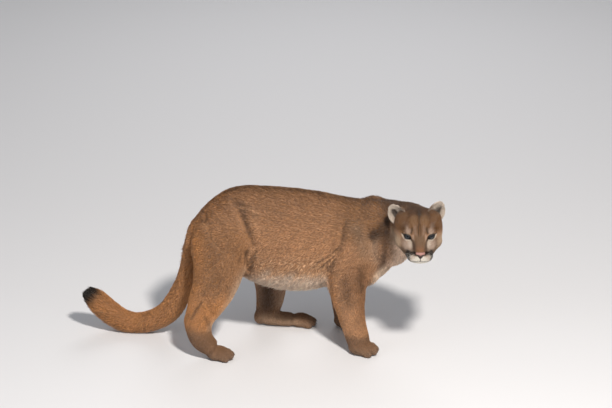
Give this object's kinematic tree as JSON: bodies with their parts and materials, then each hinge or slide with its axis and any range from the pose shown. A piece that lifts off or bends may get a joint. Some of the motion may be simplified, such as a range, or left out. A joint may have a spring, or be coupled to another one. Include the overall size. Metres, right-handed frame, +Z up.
{
  "type": "cougar",
  "caption": "Standing adult cougar with its head turned to one side, a long thick tail touching the ground and curling up at its tip.",
  "frame": {"origin": "on the floor, under the middle of the animal's box", "axes": "+Z up from the floor, +X the way the body faces, +Y the animal's left side"},
  "size_m": [1.4688, 0.5132, 0.6787],
  "materials": {
    "coat": "short dense fur",
    "nose_skin": "damp bare skin",
    "eyes": "wet"
  },
  "bodies": {
    "root": {"torso": "coat", "neck": "coat", "head": "coat", "ear_left": "coat", "ear_right": "coat", "foreleg_left_upper": "coat", "foreleg_left_lower": "coat", "forepaw_left": "coat", "foreleg_right_upper": "coat", "foreleg_right_lower": "coat", "forepaw_right": "coat", "hindleg_left_thigh": "coat", "hindleg_left_shank": "coat", "hindpaw_left": "coat", "hindleg_right_thigh": "coat", "hindleg_right_shank": "coat", "hindpaw_right": "coat", "tail_base": "coat", "tail_mid": "coat", "tail_tip": "coat", "nose": "nose_skin", "eye_left": "eyes", "eye_right": "eyes"}
  },
  "joints": []
}
